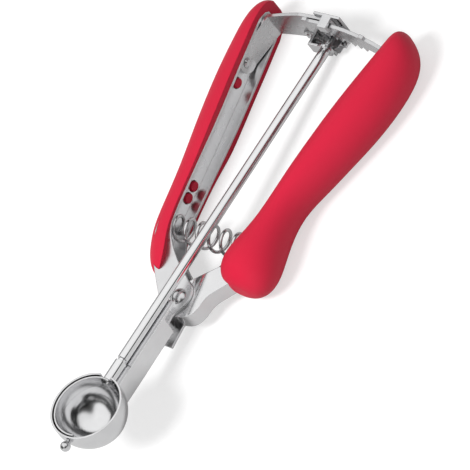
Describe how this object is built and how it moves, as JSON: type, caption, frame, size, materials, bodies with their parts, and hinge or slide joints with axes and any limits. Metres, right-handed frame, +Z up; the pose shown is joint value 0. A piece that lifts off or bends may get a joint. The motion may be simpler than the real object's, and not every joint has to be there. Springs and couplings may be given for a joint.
{
  "type": "lever ice cream scoop",
  "caption": "Squeeze-handle ice cream scoop: small bowl with a sweeping wiper driven by a rack and pinion from a sprung trigger handle.",
  "frame": {"origin": "middle of the underside of the whole scoop as it lies on the flat sides of its grips", "axes": "+X from the bowl to the handle ends, +Y from the trigger to the fixed handle, +Z up out of the bowl's mouth"},
  "size_m": [0.2122, 0.0868, 0.0357],
  "materials": {
    "bowl_steel": "polished stainless",
    "plated_steel": "bright plated pressed sheet",
    "sheet_steel": "bright pressed sheet",
    "turned_steel": "bright drawn rod",
    "rivet_steel": "bright rivet heads",
    "spring_wire": "drawn wire",
    "red_grip": "satin moulded plastic"
  },
  "bodies": {
    "fixed_body": {"bowl": "bowl_steel", "neck_channel": "plated_steel", "fixed_handle": "plated_steel", "fixed_grip": "red_grip", "guide_arm": "sheet_steel", "arm_rivet": "rivet_steel", "bearing_bracket": "sheet_steel", "bearing_rivet": "rivet_steel", "rack_saddle": "sheet_steel", "neck_rivets": "rivet_steel", "pivot_rivet": "rivet_steel", "return_spring": "spring_wire"},
    "trigger_body": {"trigger_frame": "plated_steel", "trigger_grip": "red_grip", "rack": "sheet_steel", "rack_rivets": "rivet_steel"},
    "wiper_body": {"shaft": "turned_steel", "wiper_stem": "turned_steel", "pinion": "sheet_steel", "wiper_blade": "bowl_steel", "hub_rivet": "rivet_steel", "tip_pin": "rivet_steel"}
  },
  "joints": [
    {"name": "trigger_squeeze", "type": "hinge", "parent": "fixed_body", "child": "trigger_body", "pos_m": [-0.02794, 0.00389, 0.0108], "axis": [0, 0, 1], "range_deg": [0, 7], "stiffness_Nm_per_rad": 1.2, "springref_deg": -5.73, "deforming": ["return_spring"]},
    {"name": "shaft_spin", "type": "hinge", "parent": "fixed_body", "child": "wiper_body", "pos_m": [-0.08686, 0.00449, 0.03056], "axis": [0.9914, 0, -0.1305], "range_deg": [-190, 0]}
  ],
  "couplings": [
    {"joint": "shaft_spin", "follows": "trigger_squeeze", "ratio": -26.804}
  ]
}
